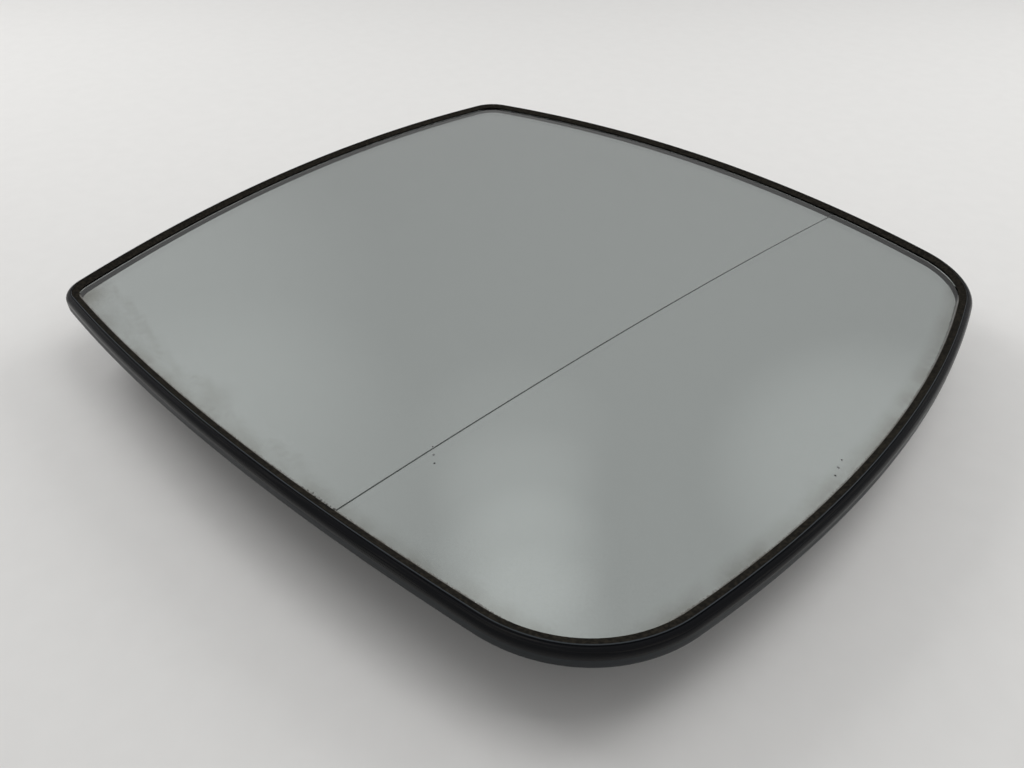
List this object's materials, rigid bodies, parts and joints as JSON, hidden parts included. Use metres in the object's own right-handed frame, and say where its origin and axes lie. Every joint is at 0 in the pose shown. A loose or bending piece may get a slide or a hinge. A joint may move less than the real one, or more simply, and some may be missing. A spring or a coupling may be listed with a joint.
{
  "type": "car door mirror glass",
  "caption": "Convex door mirror glass with a wide-angle outer field, in a black moulded carrier with a raised rim; heated, with a snap socket and blade terminals at the back.",
  "frame": {"origin": "centre of the part's box in plan, on the plane that the support ring rests on", "axes": "+X to the outer side of the car, +Y to the top of the mounted mirror, +Z out of the glass"},
  "size_m": [0.1858, 0.1709, 0.022],
  "materials": {
    "mirror_glass": "second-surface mirror glass, faintly green",
    "heating_foil": "satin film",
    "foam_adhesive": "matte foam",
    "carrier_plate": "moulded, satin, polished on the rim's shoulder",
    "spring_steel": "drawn wire",
    "tinned_brass": "tinned, stamped"
  },
  "bodies": {
    "root": {"mirror_glass": "mirror_glass", "heating_foil": "heating_foil", "foam_adhesive": "foam_adhesive", "carrier_plate": "carrier_plate", "retaining_ring": "spring_steel", "heater_terminal_upper": "tinned_brass", "heater_terminal_lower": "tinned_brass"}
  },
  "joints": []
}
